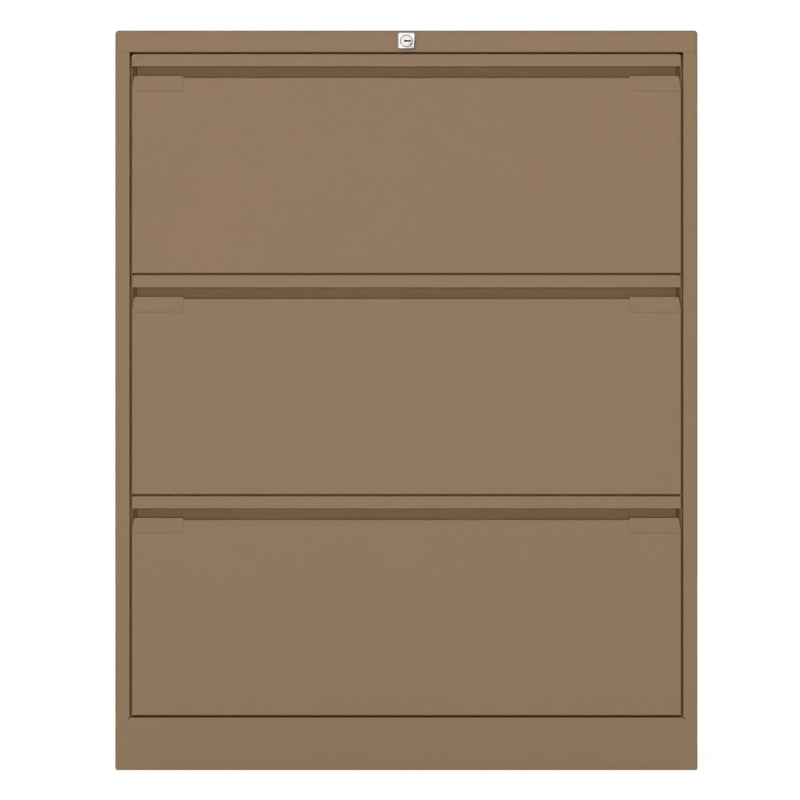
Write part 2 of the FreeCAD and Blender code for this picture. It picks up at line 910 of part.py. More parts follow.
def lock_link_bar():
    """Flat bar from the cam to the right-hand side, its end slotted at 45 degrees to work the lock bar."""
    end_left = bar_pin_x - bar_width
    end_right = bar_pin_x + lock_travel + bar_width / 2
    bar_left = cam_offset - bar_width
    face = outline_face([
        (bar_left, link_bottom, 0),
        (end_right, link_bottom, 0),
        (end_right, link_end_top, 0),
        (end_left, link_end_top, 0),
        (end_left, link_top, 0),
        (bar_left, link_top, 0),
    ], xz)
    bar = face.extrude(Vec(0, bar_gauge, 0))
    bar.translate(Vec(0, link_front, 0))
    reach = cam_pin_diameter / 2 + cam_pin_play
    through = (link_front - bar_gauge, link_back + bar_gauge)
    pin_slot = block(
        (cam_offset - reach, cam_offset + reach),
        through,
        (lock_z - cam_radius - reach, lock_z - cam_offset + reach),
    )
    slot_half = bar_pin_diameter / 2 + bar_play
    slot_length = lock_travel * math.sqrt(2)
    slope = block((0, slot_length), through, (-slot_half, slot_half))
    for along in (0, slot_length):
        end = rod(slot_half, Vec(along, through[0], 0), Vec(0, 1, 0), through[1] - through[0])
        slope = slope.fuse(end)
    slope.rotate(Vec(0, 0, 0), Vec(0, 1, 0), 45)
    slope.translate(Vec(bar_pin_x, 0, bar_pin_z))
    return bar.cut([pin_slot, slope])


def lock_bar():
    """Upright bar in the right front channel: an arm with a pin in the link bar, a finger for each drawer."""
    thick = (bar_front, bar_back)
    arm_half = bar_pin_diameter
    bar_bottom = drawer_bases[0] + finger_level - bar_spacing
    bar_top = bar_pin_z + bar_pin_diameter - bar_play
    pieces = [block((bar_pin_x - bar_width / 2, bar_inner), thick, (bar_pin_z - arm_half, bar_top))]
    for base in drawer_bases:
        finger_span = (base + finger_level, base + finger_level + finger_height)
        pieces.append(block((bar_inner - finger_reach, bar_inner), thick, finger_span))
    pin_start = link_front - bar_spacing / 2
    pin = rod(bar_pin_diameter / 2, Vec(bar_pin_x, pin_start, bar_pin_z), Vec(0, 1, 0), bar_front - pin_start)
    strip = block((bar_inner, bar_outer), thick, (bar_bottom, bar_top))
    return joined(strip, *pieces).fuse(pin)


def lock_bar_guides():
    """Guide blocks inside the right front upright, one above each finger."""
    guides = []
    for base in drawer_bases:
        bottom = base + finger_level + finger_height + 2 * guide_length
        guide = block(
            (upright_face + upright_gauge, half_width - shell_gauge),
            (bar_front - bar_play - guide_wall, bar_back + bar_play + guide_wall),
            (bottom, bottom + guide_length),
        )
        guides.append(guide.cut(lock_bar_slot(bottom - guide_length, bottom + 2 * guide_length)))
    return Part.makeCompound(guides)


def link_bar_guides():
    """Guide blocks under the top panel that the link bar slides through."""
    guides = []
    for place in guide_places:
        middle = place * bar_pin_x
        guide = block(
            (middle - guide_length / 2, middle + guide_length / 2),
            (link_front - bar_play - guide_wall, link_back + bar_play + guide_wall),
            (link_bottom - bar_play - guide_wall, height - shell_gauge),
        )
        room = block(
            (middle - guide_length, middle + guide_length),
            (link_front - bar_play, link_back + bar_play),
            (link_bottom - bar_play, link_top + bar_play),
        )
        guides.append(guide.cut(room))
    return Part.makeCompound(guides)


def raised(shape, base):
    """A drawer piece lifted to its drawer's place."""
    lifted = shape.copy()
    lifted.translate(Vec(0, 0, base))
    return lifted


# Cabinet body and lock
right_slot = lock_bar_slot(opening_top - 2 * shell_gauge, opening_top + shell_gauge)
front_upright = upright(box_front + close_play)
rear_upright = upright(runner_back - rear_upright_inset)
front_foot_y = front_y + foot_end_inset
rear_foot_y = back_y - foot_end_inset
cabinet_members = pair(cabinet_member())
nodes = {
    "left_side_panel": mirrored(side_panel()),
    "right_side_panel": side_panel().cut(right_slot),
    "top_panel": top_panel(),
    "plinth_panel": plinth_panel(),
    "back_panel": back_panel(),
    "base_panel": base_panel(),
    "front_uprights": Part.makeCompound([front_upright.cut(finger_slots()), mirrored(front_upright)]),
    "rear_uprights": pair(rear_upright),
    "front_cross_rails": cross_rails(),
    "foot_brackets": Part.makeCompound([pair(foot_bracket(front_foot_y)), pair(foot_bracket(rear_foot_y))]),
    "cabinet_runner_members": Part.makeCompound([raised(cabinet_members, base) for base in drawer_bases]),
    "lock_body": lock_body(),
    "lock_plug": lock_plug(),
    "lock_cam": lock_cam(),
    "lock_link_bar": lock_link_bar(),
    "link_bar_guides": link_bar_guides(),
    "lock_bar": lock_bar(),
    "lock_bar_guides": lock_bar_guides(),
    "front_left_foot": levelling_foot(-foot_x, front_foot_y),
    "front_right_foot": levelling_foot(foot_x, front_foot_y),
    "rear_left_foot": levelling_foot(-foot_x, rear_foot_y),
    "rear_right_foot": levelling_foot(foot_x, rear_foot_y),
}

# Drawers and the moving members of their runners, drawn once and repeated at each drawer's height
drawer_pieces = {
    "drawer_front": drawer_front(),
    "drawer_front_liner": front_liner(),
    "drawer_grip_caps": pair(grip_cap()),
    "drawer_sides": pair(drawer_side()),
    "drawer_back": drawer_back(),
    "drawer_bottom": drawer_bottom(),
    "drawer_file_rails": file_rails(),
    "drawer_lock_catch": lock_catch(),
    "drawer_runner_members": pair(drawer_member()),
    "runner_middle_members": pair(middle_member()),
    "runner_outer_cages": pair(ball_cage(outer_cage_web, outer_row)),
    "runner_inner_cages": pair(ball_cage(inner_cage_web, inner_row)),
}
for drawer_name, base in zip(drawer_names, drawer_bases):
    for piece_name, piece in drawer_pieces.items():
        nodes[drawer_name + "_" + piece_name] = raised(piece, base)

os.makedirs("parts", exist_ok=True)
for node_name, shape in nodes.items():
    shape.exportStep("parts/" + node_name + ".step")
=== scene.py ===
import math

import bmesh
import bpy
from mathutils import Matrix, Vector


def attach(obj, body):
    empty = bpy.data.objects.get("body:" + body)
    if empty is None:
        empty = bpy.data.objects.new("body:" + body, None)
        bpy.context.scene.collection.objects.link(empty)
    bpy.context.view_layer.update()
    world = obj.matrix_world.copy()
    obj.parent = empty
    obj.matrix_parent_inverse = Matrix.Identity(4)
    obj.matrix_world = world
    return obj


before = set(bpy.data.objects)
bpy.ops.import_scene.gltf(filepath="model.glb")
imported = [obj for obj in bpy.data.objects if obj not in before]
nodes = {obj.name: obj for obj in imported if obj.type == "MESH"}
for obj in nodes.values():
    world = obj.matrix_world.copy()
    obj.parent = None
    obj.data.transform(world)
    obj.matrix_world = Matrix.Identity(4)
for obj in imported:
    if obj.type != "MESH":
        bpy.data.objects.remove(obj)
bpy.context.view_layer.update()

# Cabinet shell: two side trays with the stiles, the top tray with the fascia, the plinth and the back.
# Sheet steel, folded, spot welded and powder coated in one brown after assembly.
# The coat has a fine orange peel and is scuffed on the plinth; on the returns behind the gaps it is painted
# paler, as painted light.
coat_colour = (0.252, 0.158, 0.083)
coat_roughness = 0.62
coat_ior = 1.45
coat_shades = (0.945, 1.055)
drift_scale = 2.6
drift_share = 0.5
drift_dullness = 0.05
peel_scale = 620.0
peel_share = 0.75
peel_dullness = 0.06
peel_strength = 0.22
peel_depth = 0.00012
grain_scale = 2400.0
rubbed_shade = 1.14
rubbed_polish = 0.08
scuff_height = 0.030
scuff_reach = 0.045
scuff_stretch = (14.0, 1.0, 90.0)
scuff_scale = 3.0
scuff_limits = (0.60, 0.72)
scuff_strength = 0.5
shell_half = 0.400
shell_top = 1.016
front_plane = -0.2325
back_plane = 0.2375
edge_reach = 0.0045
edge_limits = (1.0, 1.8)
patch_scale = 26.0
patch_limits = (0.46, 0.66)
edge_strength = 0.8
# Painted shade behind the front plane: where it starts, where it is full, and its tint per channel.
recess_start = 0.004
recess_full = 0.012
hollow_shade_tint = (1.00, 0.90, 0.66)
# Painted light in the gaps: how much paler the coat is made there.
gap_light_gain = 1.7
opening_half = 0.380
opening_bottom = 0.0725
opening_top = 0.986
return_depth = 0.026
return_gauge = 0.0008


class Shade:
    """An output in a material's node tree. Arithmetic on it adds maths nodes."""

    def __init__(self, tree, socket=None):
        self.tree = tree
        self.socket = socket

    def node(self, kind, settings, sockets, output=0):
        """Add a node: its type, its settings, then its sockets by name or place."""
        made = self.tree.nodes.new(kind)
        for name, value in settings.items():
            setattr(made, name, value)
        for name, value in sockets.items():
            if isinstance(value, Shade):
                self.tree.links.new(value.socket, made.inputs[name])
            else:
                made.inputs[name].default_value = value
        return Shade(self.tree, made.outputs[output]) if made.outputs else None

    def maths(self, operation, first, second=0.0):
        return self.node("ShaderNodeMath", {"operation": operation}, {0: first, 1: second})

    def __abs__(self):
        return self.maths("ABSOLUTE", self)

    def __add__(self, other):
        return self.maths("ADD", self, other)

    def __radd__(self, other):
        return self.maths("ADD", other, self)

    def __sub__(self, other):
        return self.maths("SUBTRACT", self, other)

    def __rsub__(self, other):
        return self.maths("SUBTRACT", other, self)

    def __mul__(self, other):
        return self.maths("MULTIPLY", self, other)

    def __rmul__(self, other):
        return self.maths("MULTIPLY", other, self)

    def __truediv__(self, other):
        return self.maths("DIVIDE", self, other)


def start_material(name):
    """A new material: itself, its shader and its object coordinates."""
    material = bpy.data.materials.new(name)
    material.use_nodes = True
    shader = material.node_tree.nodes["Principled BSDF"]
    place = Shade(material.node_tree).node("ShaderNodeTexCoord", {}, {}, "Object")
    return material, shader, place


def axes(place):
    """The three parts of a place."""
    return [place.node("ShaderNodeSeparateXYZ", {}, {0: place}, axis) for axis in "XYZ"]


def plug_in(shader, name, value):
    """Give a shader socket a varying input."""
    value.tree.links.new(value.socket, shader.inputs[name])


def stretched(place, stretch):
    """A place with each axis stretched, for patterns with a direction."""
    return place.node("ShaderNodeMapping", {}, {0: place, "Scale": stretch})


def noise(place, scale, detail=2.0):
    """Soft noise from 0 to 1, with its scale in features per metre."""
    return place.node("ShaderNodeTexNoise", {}, {"Vector": place, "Scale": scale, "Detail": detail})


def swing(pattern, reach):
    """A pattern's swing to both sides of its middle."""
    return reach * (pattern - 0.5)


def ramp(value, low, high):
    """A value's way from low to high as 0 to 1, eased at both ends."""
    settings = {"interpolation_type": "SMOOTHSTEP"}
    return value.node("ShaderNodeMapRange", settings, {0: value, 1: low, 2: high, 3: 0.0, 4: 1.0})


def larger(first, second):
    """The larger of two values."""
    return first.maths("MAXIMUM", first, second)


def blend(factor, first, second):
    """A colour between two others."""
    settings = {"data_type": "RGBA"}
    return factor.node("ShaderNodeMix", settings, {0: factor, 6: first, 7: second}, 2)


def scaled(colour, share):
    """A colour, lighter or darker by a share."""
    return tuple(channel * share for channel in colour)


def toned(colour, share):
    """An opaque colour, lighter or darker by a share."""
    return scaled(colour, share) + (1.0,)


def mottled(pattern, colour, shades):
    """A colour that a pattern moves between its dark and its light shade."""
    return blend(pattern, toned(colour, shades[0]), toned(colour, shades[1]))


def hollow_shaded(colour):
    """Painted shade: a colour made darker and warmer, as in hollows where the walls light each other."""
    return tuple(channel * warmth for channel, warmth in zip(colour, hollow_shade_tint))


def bumped(shader, height, strength, distance):
    """Let a height pattern move the shader's normal."""
    settings = {"Strength": strength, "Distance": distance, "Height": height}
    plug_in(shader, "Normal", height.node("ShaderNodeBump", {}, settings))


def dress(material, *names):
    """Put a material into each slot of the named nodes."""
    for name in names:
        mesh = nodes[name].data
        if not mesh.materials:
            mesh.materials.append(material)
        for index in range(len(mesh.materials)):
            mesh.materials[index] = material


def behind_front(parts):
    """0 on the front plane, 1 in the hollows behind it."""
    return ramp(parts[1], front_plane + recess_start, front_plane + recess_full)


def powder_coat(name, colour, rubbed=None, shaded_hollows=False, gap_light=None):
    """Powder coat: drift of tone, orange peel, and a place where it is rubbed a little lighter.

    With painted shade, a coat is darker and warmer behind the front plane, in the finger pull and in the
    gaps.
    Where painted light is wanted in the gaps, the coat is paler.
    """
    material, shader, place = start_material(name)
    parts = axes(place)
    drift = noise(place, drift_scale)
    peel = noise(place, peel_scale)
    grain = noise(place, grain_scale, detail=1.0)
    tone = mottled(drift * drift_share + grain * (1.0 - drift_share), colour, coat_shades)
    roughness = coat_roughness + swing(peel, peel_dullness) + swing(drift, drift_dullness)
    # Painted shade: darker, warmer coat behind the front plane.
    if shaded_hollows:
        tone = blend(behind_front(parts), tone, toned(hollow_shaded(colour), 1.0))
    # Painted light: paler coat where the mask lets light seem to reach into the gaps.
    if gap_light is not None:
        tone = blend(gap_light(parts), tone, toned(hollow_shaded(colour), gap_light_gain))
    if rubbed is not None:
        share = rubbed(place, parts)
        tone = blend(share, tone, toned(colour, rubbed_shade))
        roughness = roughness - rubbed_polish * share
    plug_in(shader, "Base Color", tone)
    plug_in(shader, "Roughness", roughness)
    shader.inputs["IOR"].default_value = coat_ior
    bumped(shader, peel * peel_share + grain * (1.0 - peel_share), peel_strength, peel_depth)
    return material


def plinth_scuffs(place, parts):
    """Thin scuffs from shoes, low on the front."""
    streaks = noise(stretched(place, scuff_stretch), scuff_scale, detail=4.0)
    low = 1.0 - ramp(parts[2], scuff_height, scuff_height + scuff_reach)
    return ramp(streaks, *scuff_limits) * low * scuff_strength


def edge_wear(place, parts):
    """Thinner coat in patches along the outer edges, where two outer faces meet."""
    side = ramp(abs(parts[0]), shell_half - edge_reach, shell_half)
    top = ramp(parts[2], shell_top - edge_reach, shell_top)
    front = 1.0 - ramp(parts[1], front_plane, front_plane + edge_reach)
    back = ramp(parts[1], back_plane - edge_reach, back_plane)
    edge = ramp(side + top + front + back, *edge_limits)
    patches = ramp(noise(place, patch_scale, detail=4.0), *patch_limits)
    return edge * patches * edge_strength


def shell_wear(place, parts):
    """Scuffs and worn edges together."""
    return larger(plinth_scuffs(place, parts), edge_wear(place, parts))


def lit_opening_returns(parts):
    """The returns around the drawers behind the front plane, where the coat is painted paler as painted
    light in the gaps.
    """
    shallow = 1.0 - ramp(parts[1], front_plane + return_depth, front_plane + return_depth + return_gauge)
    aside = ramp(abs(parts[0]), opening_half, opening_half + return_gauge)
    above = ramp(parts[2], opening_top, opening_top + return_gauge)
    below = 1.0 - ramp(parts[2], opening_bottom - return_gauge, opening_bottom)
    return behind_front(parts) * shallow * (1.0 - aside) * (1.0 - above) * (1.0 - below)


shell_coat = powder_coat("shell coat", coat_colour, shell_wear, gap_light=lit_opening_returns)
dress(
    shell_coat,
    "left_side_panel",
    "right_side_panel",
    "top_panel",
    "plinth_panel",
    "back_panel",
)

# Base and stiffeners inside the shell: base panel, four upright channels, cross rails, foot brackets.
# Thicker strip, roll formed and welded in before painting, and given the darker, warmer tone of the hollows
# as painted shade.
# The base and the rails between the uprights are painted paler, as painted light reaching into the gaps.
inner_coat = powder_coat("inner coat", hollow_shaded(coat_colour))
gap_lit_coat = powder_coat("gap lit coat", scaled(hollow_shaded(coat_colour), gap_light_gain))
dress(inner_coat, "front_uprights", "rear_uprights", "foot_brackets")
dress(gap_lit_coat, "base_panel", "front_cross_rails")

# Levelling feet: a hexagonal pad moulded in black nylon over the head of a steel stud.
# The stud screws up through the nut on the bracket, so the pad can be turned by a spanner from below.
# Black moulded grain on the pad, zinc with a trace of thread on the stud.
pad_colour = (0.022, 0.022, 0.023)
pad_shades = (0.8, 1.9)
pad_roughness = 0.62
pad_grain = 0.3
pad_top = 0.009
stud_colour = (0.52, 0.52, 0.51)
stud_shades = (0.85, 1.1)
stud_polish = 0.27
stud_blend = 0.0002
foot_grain_scale = 1800.0
foot_dullness = 0.12
dust_scale = 60.0
thread_pitch = 0.00125
thread_strength = 0.6
thread_depth = 0.0003


def foot_material():
    """Nylon up to the top of the pad, zinc above it."""
    material, shader, place = start_material("foot")
    height = axes(place)[2]
    stud = ramp(height, pad_top - stud_blend, pad_top + stud_blend)
    grain = noise(place, foot_grain_scale)
    pad = mottled(noise(place, dust_scale, detail=3.0), pad_colour, pad_shades)
    steel = mottled(grain, stud_colour, stud_shades)
    thread = height.maths("PINGPONG", height, thread_pitch / 2) / (thread_pitch / 2)
    plug_in(shader, "Base Color", blend(stud, pad, steel))
    plug_in(shader, "Metallic", stud)
    plug_in(shader, "Roughness", pad_roughness - stud_polish * stud + swing(grain, foot_dullness))
    bumped(shader, grain * (1.0 - stud) * pad_grain + thread * stud, thread_strength, thread_depth)
    return material


dress(foot_material(), "front_left_foot", "front_right_foot", "rear_left_foot", "rear_right_foot")

# Telescopic runners: cabinet, middle and drawer members with two ball cages between them on each side.
# Cold-rolled strip with formed raceways, bright zinc plated, with hardened balls in pressed cages.
# The plating is pale and faintly blue, cloudy, stained in spots and drawn along the strip.
zinc_colour = (0.56, 0.57, 0.58)
cage_colour = (0.62, 0.61, 0.57)
metal_shades = (0.84, 1.12)
line_stretch_across = 240.0
line_stretch_along = 6.0
line_scale = 8.0
line_share = 0.5
line_dullness = 0.10
line_strength = 0.15
line_depth = 0.00008
plating_scale = 45.0
plating_dullness = 0.16
stain_scale = 130.0
stain_limits = (0.62, 0.74)
stain_share = 0.35
stain_shade = 0.60
stain_dullness = 0.10
along_x, along_y, along_z = range(3)
drawer_names = ("bottom", "middle", "top")


def drawn_metal(name, colour, along, roughness):
    """Plated strip: fine lines along one axis, cloudy plating, small stains."""
    material, shader, place = start_material(name)
    stretch = [line_stretch_across] * 3
    stretch[along] = line_stretch_along
    lines = noise(stretched(place, stretch), line_scale, detail=3.0)
    cloud = noise(place, plating_scale, detail=3.0)
    stain = ramp(noise(place, stain_scale, detail=4.0), *stain_limits)
    tone = mottled(lines * line_share + cloud * (1.0 - line_share), colour, metal_shades)
    dullness = swing(cloud, plating_dullness) + swing(lines, line_dullness) + stain_dullness * stain
    plug_in(shader, "Base Color", blend(stain * stain_share, tone, toned(colour, stain_shade)))
    plug_in(shader, "Roughness", roughness + dullness)
    shader.inputs["Metallic"].default_value = 1.0
    bumped(shader, lines, line_strength, line_depth)
    return material


runner_metal = drawn_metal("runner zinc", zinc_colour, along_y, roughness=0.36)
cage_metal = drawn_metal("cage zinc", cage_colour, along_y, roughness=0.30)
dress(runner_metal, "cabinet_runner_members")
for drawer in drawer_names:
    dress(runner_metal, drawer + "_drawer_runner_members", drawer + "_runner_middle_members")
    dress(cage_metal, drawer + "_runner_outer_cages", drawer + "_runner_inner_cages")

# Drawer fronts: one folded sheet for panel, finger pull and lip, with a flat liner behind.
# Folded, welded at the corners and coated together with the shell, so the brown matches.
# Fingers polish the underside of each lip and the top edge of each panel a little, most in the middle.
lowest_front = 0.0755
pull_bottom = 0.3440
lip_bottom = 0.3595
drawer_pitch = 0.3035
rub_reach = 0.004
rub_stretch = (1.0, 8.0, 8.0)
rub_scale = 12.0
rub_limits = (0.42, 0.70)
rub_middle = (0.05, 0.30)
rub_base = 0.25
rub_gain = 0.55
rub_strength = 0.55


def level_on_front(height):
    """The height of the same spot on the lowest drawer front."""
    return height.maths("FLOORED_MODULO", height - lowest_front, drawer_pitch) + lowest_front


def finger_rub(place, parts):
    """Slightly rubbed bands along the two edges of the finger pull, on every drawer."""
    level = level_on_front(parts[2])
    lower = 1.0 - ramp(abs(level - pull_bottom), 0.0, rub_reach)
    upper = 1.0 - ramp(abs(level - lip_bottom), 0.0, rub_reach)
    worn = ramp(noise(stretched(place, rub_stretch), rub_scale, detail=4.0), *rub_limits)
    middle = 1.0 - ramp(abs(parts[0]), *rub_middle)
    return (lower + upper) * worn * (rub_base + rub_gain * middle) * rub_strength


# Painted shade: the fronts are darker and warmer behind the front plane, in the finger pull and in the gaps.
front_coat = powder_coat("drawer front coat", coat_colour, finger_rub, shaded_hollows=True)
for drawer in drawer_names:
    dress(front_coat, drawer + "_drawer_front", drawer + "_drawer_front_liner")

# Grip caps: moulded ends that close the finger pull and finish the panel's upper corners.
# Plastic mixed to the brown of the coat, with a fine spark texture from the mould.
# Behind the front plane the plastic is darker and warmer as painted shade, and a darker line runs along the
# joint under each cap.
cap_colour = (0.266, 0.173, 0.100)
cap_shades = (0.95, 1.05)
cap_roughness = 0.62
cap_gloss = 0.2
# Painted shade: how dark the plastic is made behind the front plane.
cap_hollow_shade = 0.55
spark_scale = 2600.0
spark_dullness = 0.10
spark_strength = 0.20
spark_depth = 0.00010
flow_stretch = (9.0, 30.0, 30.0)
flow_scale = 2.0
flow_share = 0.6
cap_joint = 0.3255
joint_reach = 0.0012
joint_darkening = 0.80
joint_ends = (0.310, 0.366)
joint_fade = 0.004


def cap_material():
    """Coloured plastic with a darker line at the lower joint, and painted shade behind the front plane."""
    material, shader, place = start_material("cap plastic")
    parts = axes(place)
    spark = noise(place, spark_scale, detail=3.0)
    flow = noise(stretched(place, flow_stretch), flow_scale)
    tone = mottled(flow * flow_share + spark * (1.0 - flow_share), cap_colour, cap_shades)
    level = level_on_front(parts[2])
    across = abs(parts[0])
    inner_end = ramp(across, joint_ends[0] - joint_fade, joint_ends[0])
    outer_end = 1.0 - ramp(across, joint_ends[1], joint_ends[1] + joint_fade)
    joint = (1.0 - ramp(level, cap_joint, cap_joint + joint_reach)) * inner_end * outer_end
    tone = blend(joint, tone, toned(cap_colour, joint_darkening))
    # Painted shade behind the front plane.
    tone = blend(behind_front(parts), tone, toned(hollow_shaded(cap_colour), cap_hollow_shade))
    plug_in(shader, "Base Color", tone)
    plug_in(shader, "Roughness", cap_roughness + swing(spark, spark_dullness))
    shader.inputs["Specular IOR Level"].default_value = cap_gloss
    bumped(shader, spark, spark_strength, spark_depth)
    return material


cap_plastic = cap_material()
for drawer in drawer_names:
    dress(cap_plastic, drawer + "_drawer_grip_caps")

# Drawer boxes: sides, back and beaded bottom of thin sheet, with the two rails for hanging files.
# The sheet is spot welded and coated a shade darker than the front, and files scratch it.
# The rails are zinc-plated angles that stand across the tops of the sides.
box_shade = 0.97
scratch_stretch = (3.0, 60.0, 60.0)
scratch_scale = 9.0
scratch_limits = (0.60, 0.68)
scratched_scale = 9.0
scratched_limits = (0.45, 0.65)
scratch_strength = 0.7


def file_scratches(place, parts):
    """Fine lines in patches, where files have been dragged over the sheet."""
    lines = noise(stretched(place, scratch_stretch), scratch_scale, detail=5.0)
    patches = noise(place, scratched_scale)
    return ramp(lines, *scratch_limits) * ramp(patches, *scratched_limits) * scratch_strength


box_coat = powder_coat("drawer box coat", scaled(coat_colour, box_shade), file_scratches)
rail_metal = drawn_metal("rail zinc", zinc_colour, along_x, roughness=0.38)
for drawer in drawer_names:
    dress(box_coat, drawer + "_drawer_sides", drawer + "_drawer_back", drawer + "_drawer_bottom")
    dress(rail_metal, drawer + "_drawer_file_rails")

# Lock: square bevelled head and barrel in one die casting, with the turning plug in its bore.
# Zinc casting with a satin nickel plate, clamped to the fascia by a nut; painted shade darkens its lower
# right and its right and lower bevels.
# The plug has a turned ring, a dark joint round its rim, an index mark, and a key slot painted near black
# inside and round its rim as painted shade.
nickel_colour = (0.66, 0.655, 0.65)
nickel_shades = (0.95, 1.05)
nickel_roughness = 0.55
nickel_scale = 500.0
nickel_dullness = 0.10
nickel_grain = 0.3
nickel_strength = 0.25
nickel_depth = 0.0002
# Painted shade: near black in the key slot, round its rim, and on the barrel behind the front plane.
hollow_colour = (0.012, 0.012, 0.012, 1.0)
hollow_fade = 0.0004
hollow_dullness = 0.20
slot_depth = 0.0003
lock_height = 1.001
plug_face = -0.2371
joint_radius = 0.0080
joint_width = 0.0011
ring_radius = 0.0050
ring_width = 0.0009
ring_groove = 0.6
ring_core = 0.4
mark_place = (0.0060, -0.0044)
mark_radius = 0.0014
mark_core = 0.3
# Painted shade: the head is darker towards the lower right and on its right and lower bevels.
lower_right_slant = 0.7
lower_right_start = 0.003
lower_right_full = 0.011
bevel_start = 0.0100
bevel_full = 0.0112
lower_start = 0.0092
lower_full = 0.0106
lower_shade = 0.8
slot_ends = (-0.0027, 0.0060)
ward_half = 0.00135
slit_half = 0.0009
rim_reach = 0.0005
pit_scale = 1500.0
pit_limits = (0.66, 0.74)
pit_dullness = 0.15
# Layers on the nickel, each with how far it covers and its shade.
pit_layer = (0.25, 0.55)
# Painted shade: the lower right of the face and its bevels.
lower_right_layer = (0.55, 0.45)
bevel_layer = (0.80, 0.20)
ring_layer = (0.45, 0.40)
joint_layer = (0.85, 0.15)
mark_layer = (0.90, 0.06)


def ring_mask(distance, radius, width):
    """1 on a ring at a radius, falling to 0 at its width on both sides."""
    return 1.0 - ramp(abs(distance - radius), width * ring_core, width)


def strip_mask(along, ends, across, half):
    """1 on a strip between two ends and within a half width, falling to 0 over the rim's reach."""
    begun = ramp(along, ends[0] - rim_reach, ends[0])
    ended = ramp(along, ends[1], ends[1] + rim_reach)
    aside = ramp(abs(across), half, half + rim_reach)
    return begun * (1.0 - ended) * (1.0 - aside)


def nickel_material(name, dark_from):
    """Satin nickel with painted shade: black round the key slot's rim, dark behind a depth in the key slot
    of the plug or on the barrel of the body, and darker at the lower right and on the bevels.
    """
    material, shader, place = start_material(name)
    across, back, height = axes(place)
    up = height - lock_height
    radius = across.maths("SQRT", across * across + up * up)
    joint = ring_mask(radius, joint_radius, joint_width)
    ring = ring_mask(radius, ring_radius, ring_width)
    mark_across = across - mark_place[0]
    mark_up = up - mark_place[1]
    mark_square = mark_across * mark_across + mark_up * mark_up
    mark = 1.0 - ramp(mark_square, mark_core * mark_radius ** 2, mark_radius ** 2)
    # Painted shade: black round the rim of the key slot.
    ward_rim = strip_mask(across, (slot_ends[0], 0.0), up, ward_half)
    slit_rim = strip_mask(across, slot_ends, up, slit_half)
    key_rim = larger(ward_rim, slit_rim)
    # Painted shade: darker towards the lower right, and on the right and lower bevels.
    lower_right_shade = ramp((across - up) * lower_right_slant, lower_right_start, lower_right_full)
    down = 0.0 - up
    outward = larger(across, down)
    lower = ramp(down, lower_start, lower_full) * lower_shade
    bevel = larger(ramp(outward, bevel_start, bevel_full) * lower_right_shade, lower)
    # Painted shade: dark behind a depth.
    dark = ramp(back, dark_from, dark_from + hollow_fade)
    cloud = noise(place, nickel_scale, detail=3.0)
    pits = ramp(noise(place, pit_scale), *pit_limits)
    layers = (
        (pits, pit_layer),
        (lower_right_shade, lower_right_layer),
        (bevel, bevel_layer),
        (ring, ring_layer),
        (joint, joint_layer),
        (mark, mark_layer),
    )
    tone = mottled(cloud, nickel_colour, nickel_shades)
    for mask, (cover, shade) in layers:
        tone = blend(mask * cover, tone, toned(nickel_colour, shade))
    tone = blend(key_rim, tone, hollow_colour)
    dullness = swing(cloud, nickel_dullness) + pit_dullness * pits + hollow_dullness * dark
    plug_in(shader, "Base Color", blend(dark, tone, hollow_colour))
    plug_in(shader, "Metallic", (1.0 - dark) * (1.0 - key_rim))
    plug_in(shader, "Roughness", nickel_roughness + dullness)
    bumped(shader, cloud * nickel_grain - joint - ring * ring_groove, nickel_strength, nickel_depth)
    return material


dress(nickel_material("lock body nickel", front_plane), "lock_body")
plug_nickel = nickel_material("lock plug nickel", plug_face + slot_depth)
dress(plug_nickel, "lock_plug")

# Turned ring: a low ridge around the key slot, open where the slot crosses it.
# Left standing when the plug's face is turned, and plated with it.
ridge_half = 0.0003
ridge_slope = 0.00015
ridge_rise = 0.00025
ridge_gap = math.radians(13.0)
ridge_steps = 60
weld_distance = 1e-7


def close_holes(mesh):
    """Fill what is still open in a drawn mesh."""
    bmesh.ops.holes_fill(mesh, edges=[edge for edge in mesh.edges if edge.is_boundary], sides=0)


def finished(name, mesh, material, body):
    """Turn a drawn mesh into an object that rides a body and takes a slot's finish."""
    bmesh.ops.remove_doubles(mesh, verts=mesh.verts, dist=weld_distance)
    bmesh.ops.recalc_face_normals(mesh, faces=mesh.faces)
    data = bpy.data.meshes.new(name)
    mesh.to_mesh(data)
    mesh.free()
    piece = bpy.data.objects.new(name, data)
    bpy.context.collection.objects.link(piece)
    data.materials.append(material)
    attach(piece, body)


ridge = bmesh.new()
ridge_line = (
    (ring_radius - ridge_half, 0.0),
    (ring_radius - ridge_half + ridge_slope, ridge_rise),
    (ring_radius + ridge_half - ridge_slope, ridge_rise),
    (ring_radius + ridge_half, 0.0),
)
ridge_turn = Matrix.Rotation(ridge_gap, 4, "Y")
corners = []
for radius, rise in ridge_line:
    corner = ridge_turn @ Vector((radius, plug_face - rise, 0.0))
    corners.append(ridge.verts.new(corner + Vector((0.0, 0.0, lock_height))))
start = ridge.faces.new(corners)
bmesh.ops.spin(
    ridge,
    geom=[start, *start.edges, *corners],
    cent=(0.0, plug_face, lock_height),
    axis=(0.0, 1.0, 0.0),
    angle=2 * math.pi - 2 * ridge_gap,
    steps=ridge_steps,
)
close_holes(ridge)
finished("lock_plug_ring", ridge, plug_nickel, "lock_core")

